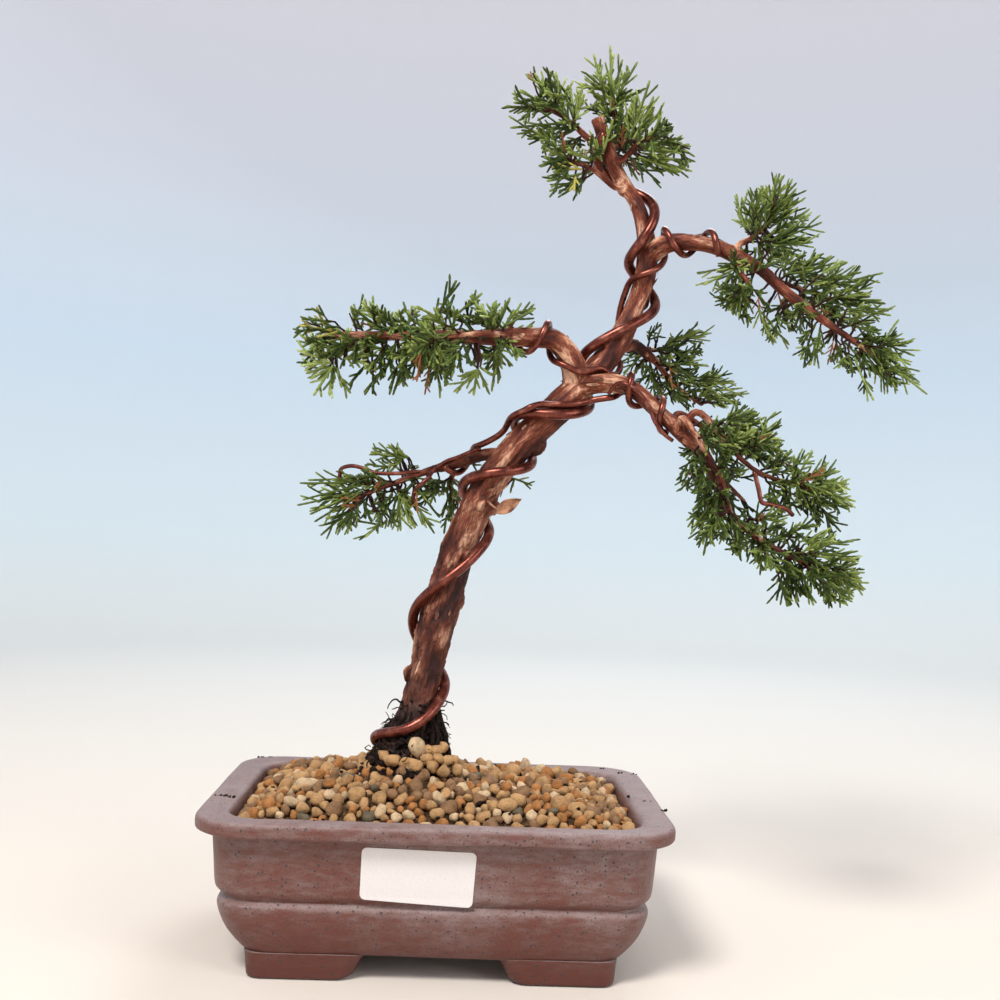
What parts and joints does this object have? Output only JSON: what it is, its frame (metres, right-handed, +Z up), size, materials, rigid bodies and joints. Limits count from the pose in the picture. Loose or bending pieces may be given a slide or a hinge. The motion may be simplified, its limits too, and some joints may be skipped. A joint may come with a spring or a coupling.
{
  "type": "juniper bonsai",
  "caption": "Wired juniper bonsai in informal upright style: leaning trunk, drooping boughs with separate pads of scale-leaf foliage, standing in gravel in a footed rectangular pot.",
  "frame": {"origin": "the middle of the whole plant's bounding box at the level that the pot's feet stand on", "axes": "+X to the right along the pot's long side, -Y towards the front, +Z up"},
  "size_m": [0.3158, 0.145, 0.4121],
  "materials": {
    "bark": "reddish brown peeling bark",
    "scale_leaves": "dark green scale leaves with lighter tips",
    "anodised_wire": "glossy dark copper anodised",
    "stoneware": "unglazed purple-brown stoneware",
    "gravel": "matt baked-clay and stone grains",
    "root_mat": "matt black fine roots and peat"
  },
  "bodies": {
    "root": {"trunk": "bark", "bough_mid_left": "bark", "bough_low_left": "bark", "bough_upper_right": "bark", "bough_lower_right": "bark", "bough_back_right": "bark", "mass_apex_left": "scale_leaves", "mass_apex_top": "scale_leaves", "mass_apex_right": "scale_leaves", "mass_apex_low": "scale_leaves", "mass_apex_back": "scale_leaves", "mass_upper_right_crown": "scale_leaves", "mass_upper_right_under": "scale_leaves", "mass_upper_right_middle": "scale_leaves", "mass_upper_right_outer": "scale_leaves", "mass_mid_left_front": "scale_leaves", "mass_mid_left_back": "scale_leaves", "mass_mid_left_outer": "scale_leaves", "mass_low_left_outer": "scale_leaves", "mass_low_left_back": "scale_leaves", "mass_back_right_inner": "scale_leaves", "mass_back_right_outer": "scale_leaves", "mass_lower_right_crown": "scale_leaves", "mass_lower_right_back": "scale_leaves", "mass_lower_right_upper": "scale_leaves", "mass_lower_right_under": "scale_leaves", "mass_lower_right_outer": "scale_leaves", "wire_trunk": "anodised_wire", "wire_upper_boughs": "anodised_wire", "wire_lower_boughs": "anodised_wire", "pot": "stoneware", "pot_foot_front_left": "stoneware", "pot_foot_front_right": "stoneware", "pot_foot_back_left": "stoneware", "pot_foot_back_right": "stoneware", "gravel_bed": "gravel", "root_mound": "root_mat"}
  },
  "joints": []
}
